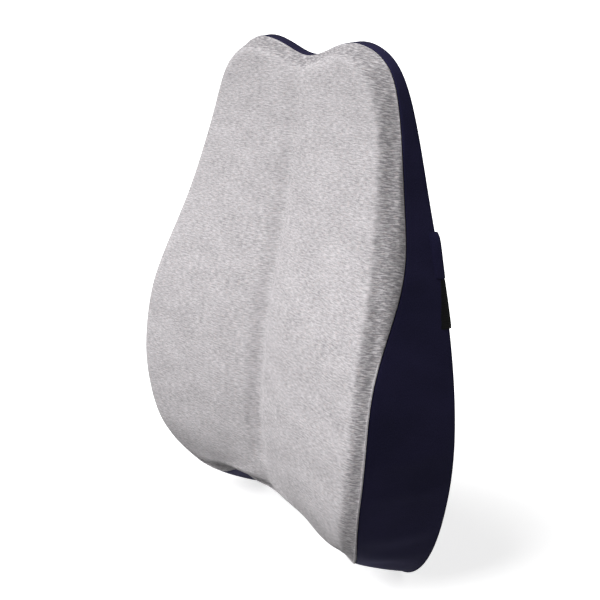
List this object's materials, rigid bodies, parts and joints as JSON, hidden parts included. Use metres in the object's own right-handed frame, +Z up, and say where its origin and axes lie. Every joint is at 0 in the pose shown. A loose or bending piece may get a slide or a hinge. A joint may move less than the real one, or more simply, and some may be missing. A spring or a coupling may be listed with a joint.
{
  "type": "lumbar support cushion",
  "caption": "Wing-shaped lumbar cushion with a foam core, a zipped two-tone fabric cover, and a buckled elastic strap that holds it to a chair back.",
  "frame": {"origin": "centre of the flat back face, which rests on the chair's back, at mid height", "axes": "+X sideways, +Y out of the back face towards the chair, +Z up"},
  "size_m": [0.4056, 0.1207, 0.4498],
  "materials": {
    "grey_jersey": "heather knit",
    "navy_knit": "matte knit",
    "foam": "memory foam",
    "black_elastic": "woven elastic",
    "black_plastic": "moulded",
    "zip_tape": "woven tape",
    "zip_coil": "nylon coil",
    "zip_metal": "black enamel",
    "label": "printed satin, left blank"
  },
  "bodies": {
    "root": {"foam_core": "foam", "cover_front_panel": "grey_jersey", "cover_side_gusset": "navy_knit", "cover_back_panel": "navy_knit", "strap_right": "black_elastic", "strap_left": "black_elastic", "strap_tab_right": "navy_knit", "strap_tab_left": "navy_knit", "buckle_socket": "black_plastic", "zip_tape_upper": "zip_tape", "zip_tape_lower": "zip_tape", "zip_coil_upper": "zip_coil", "zip_coil_lower": "zip_coil", "zip_stop_closed": "zip_metal", "zip_stop_open": "zip_metal", "care_label": "label"},
    "plug": {"buckle_plug": "black_plastic"},
    "arm_upper": {"buckle_arm_upper": "black_plastic"},
    "arm_lower": {"buckle_arm_lower": "black_plastic"},
    "adjuster": {"strap_adjuster": "black_plastic"},
    "slider": {"zip_slider": "zip_metal"},
    "pull": {"zip_pull": "zip_metal"}
  },
  "joints": [
    {"name": "plug_pull", "type": "slide", "parent": "root", "child": "plug", "axis": [-1, 0, 0], "range_m": [0, 0.034], "deforming": ["strap_left", "buckle_arm_upper", "buckle_arm_lower"]},
    {"name": "arm_upper_press", "type": "hinge", "parent": "plug", "child": "arm_upper", "pos_m": [-0.0242, 0.0165, 0.0408], "axis": [0, 1, 0], "range_deg": [0, 7], "stiffness_Nm_per_rad": 0.02},
    {"name": "arm_lower_press", "type": "hinge", "parent": "plug", "child": "arm_lower", "pos_m": [-0.0242, 0.0165, 0.0132], "axis": [0, -1, 0], "range_deg": [0, 7], "stiffness_Nm_per_rad": 0.02},
    {"name": "adjuster_slide", "type": "slide", "parent": "root", "child": "adjuster", "axis": [1, 0, 0], "range_m": [-0.012, 0.022], "deforming": ["strap_left"]},
    {"name": "zip_run", "type": "slide", "parent": "root", "child": "slider", "axis": [-1, 0, 0], "range_m": [0, 0.257]},
    {"name": "pull_flip", "type": "hinge", "parent": "slider", "child": "pull", "pos_m": [0.12865, 0.0046, -0.163], "axis": [0, 0, -1], "range_deg": [0, 170]}
  ]
}
